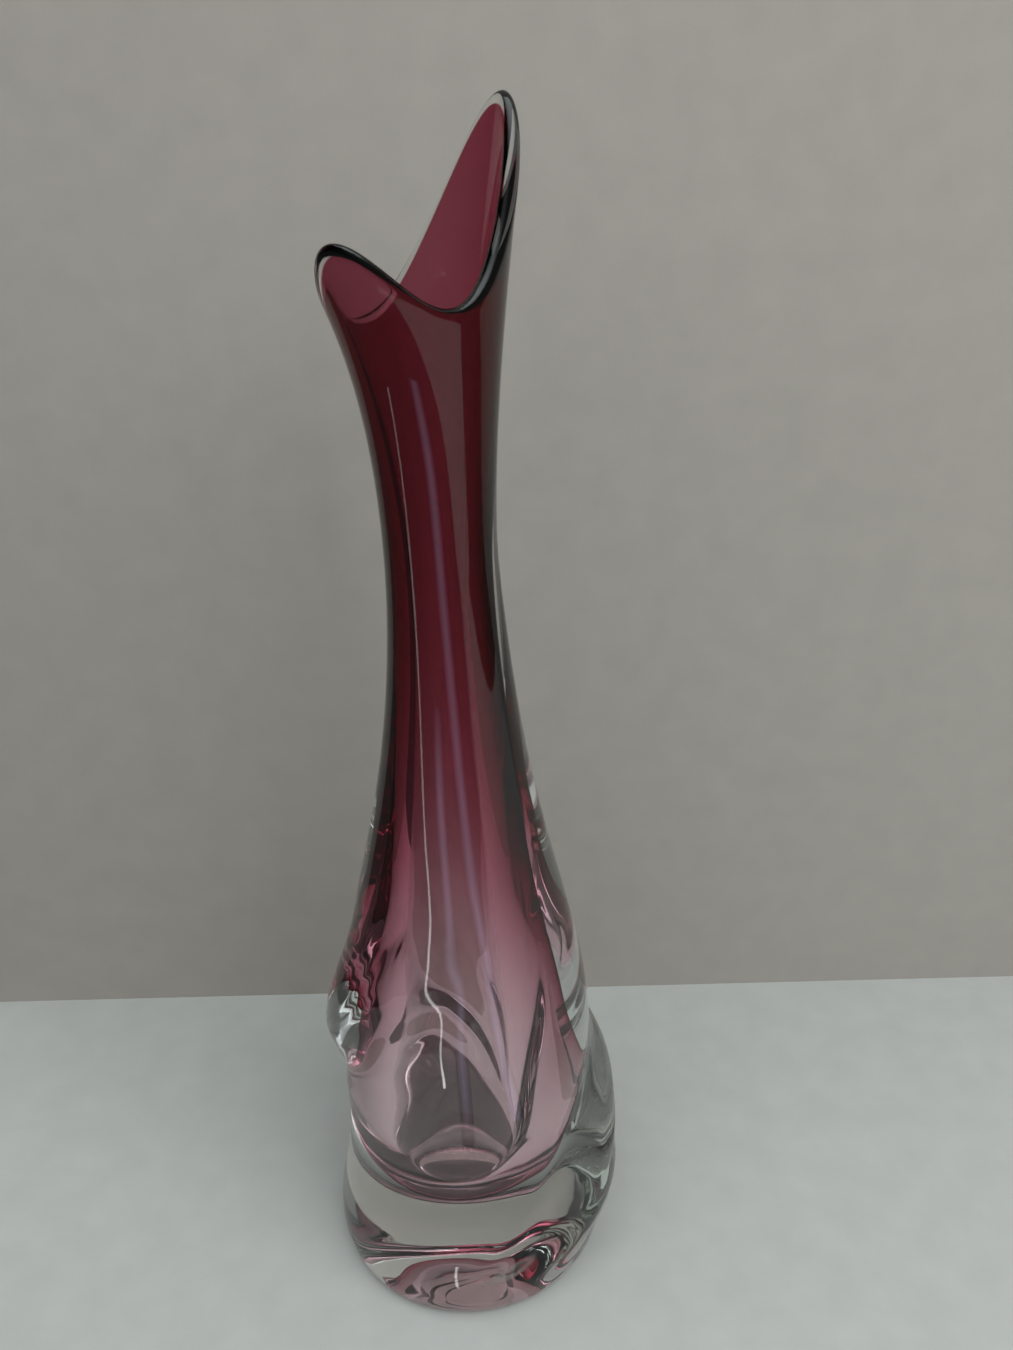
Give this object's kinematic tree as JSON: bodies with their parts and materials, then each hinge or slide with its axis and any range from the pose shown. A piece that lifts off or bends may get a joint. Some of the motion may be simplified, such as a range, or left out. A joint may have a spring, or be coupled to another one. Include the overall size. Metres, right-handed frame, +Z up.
{
  "type": "glass vase",
  "caption": "Tall cased-glass bud vase: thick clear glass over a ruby lining, with a twisted finned base, a slim neck and a swung mouth with a short lip and a tall one.",
  "frame": {"origin": "middle of the flat ground foot, which stands on z = 0", "axes": "+Z up the vase, -Y the front as pictured, +X to its right; the tall lip points back and right, the short lip front and left"},
  "size_m": [0.081, 0.0775, 0.3028],
  "materials": {
    "clear_glass": "fire-polished, with a ground flat foot",
    "ruby_glass": "smooth blown inside"
  },
  "bodies": {
    "root": {"clear_casing": "clear_glass", "ruby_lining": "ruby_glass"}
  },
  "joints": []
}
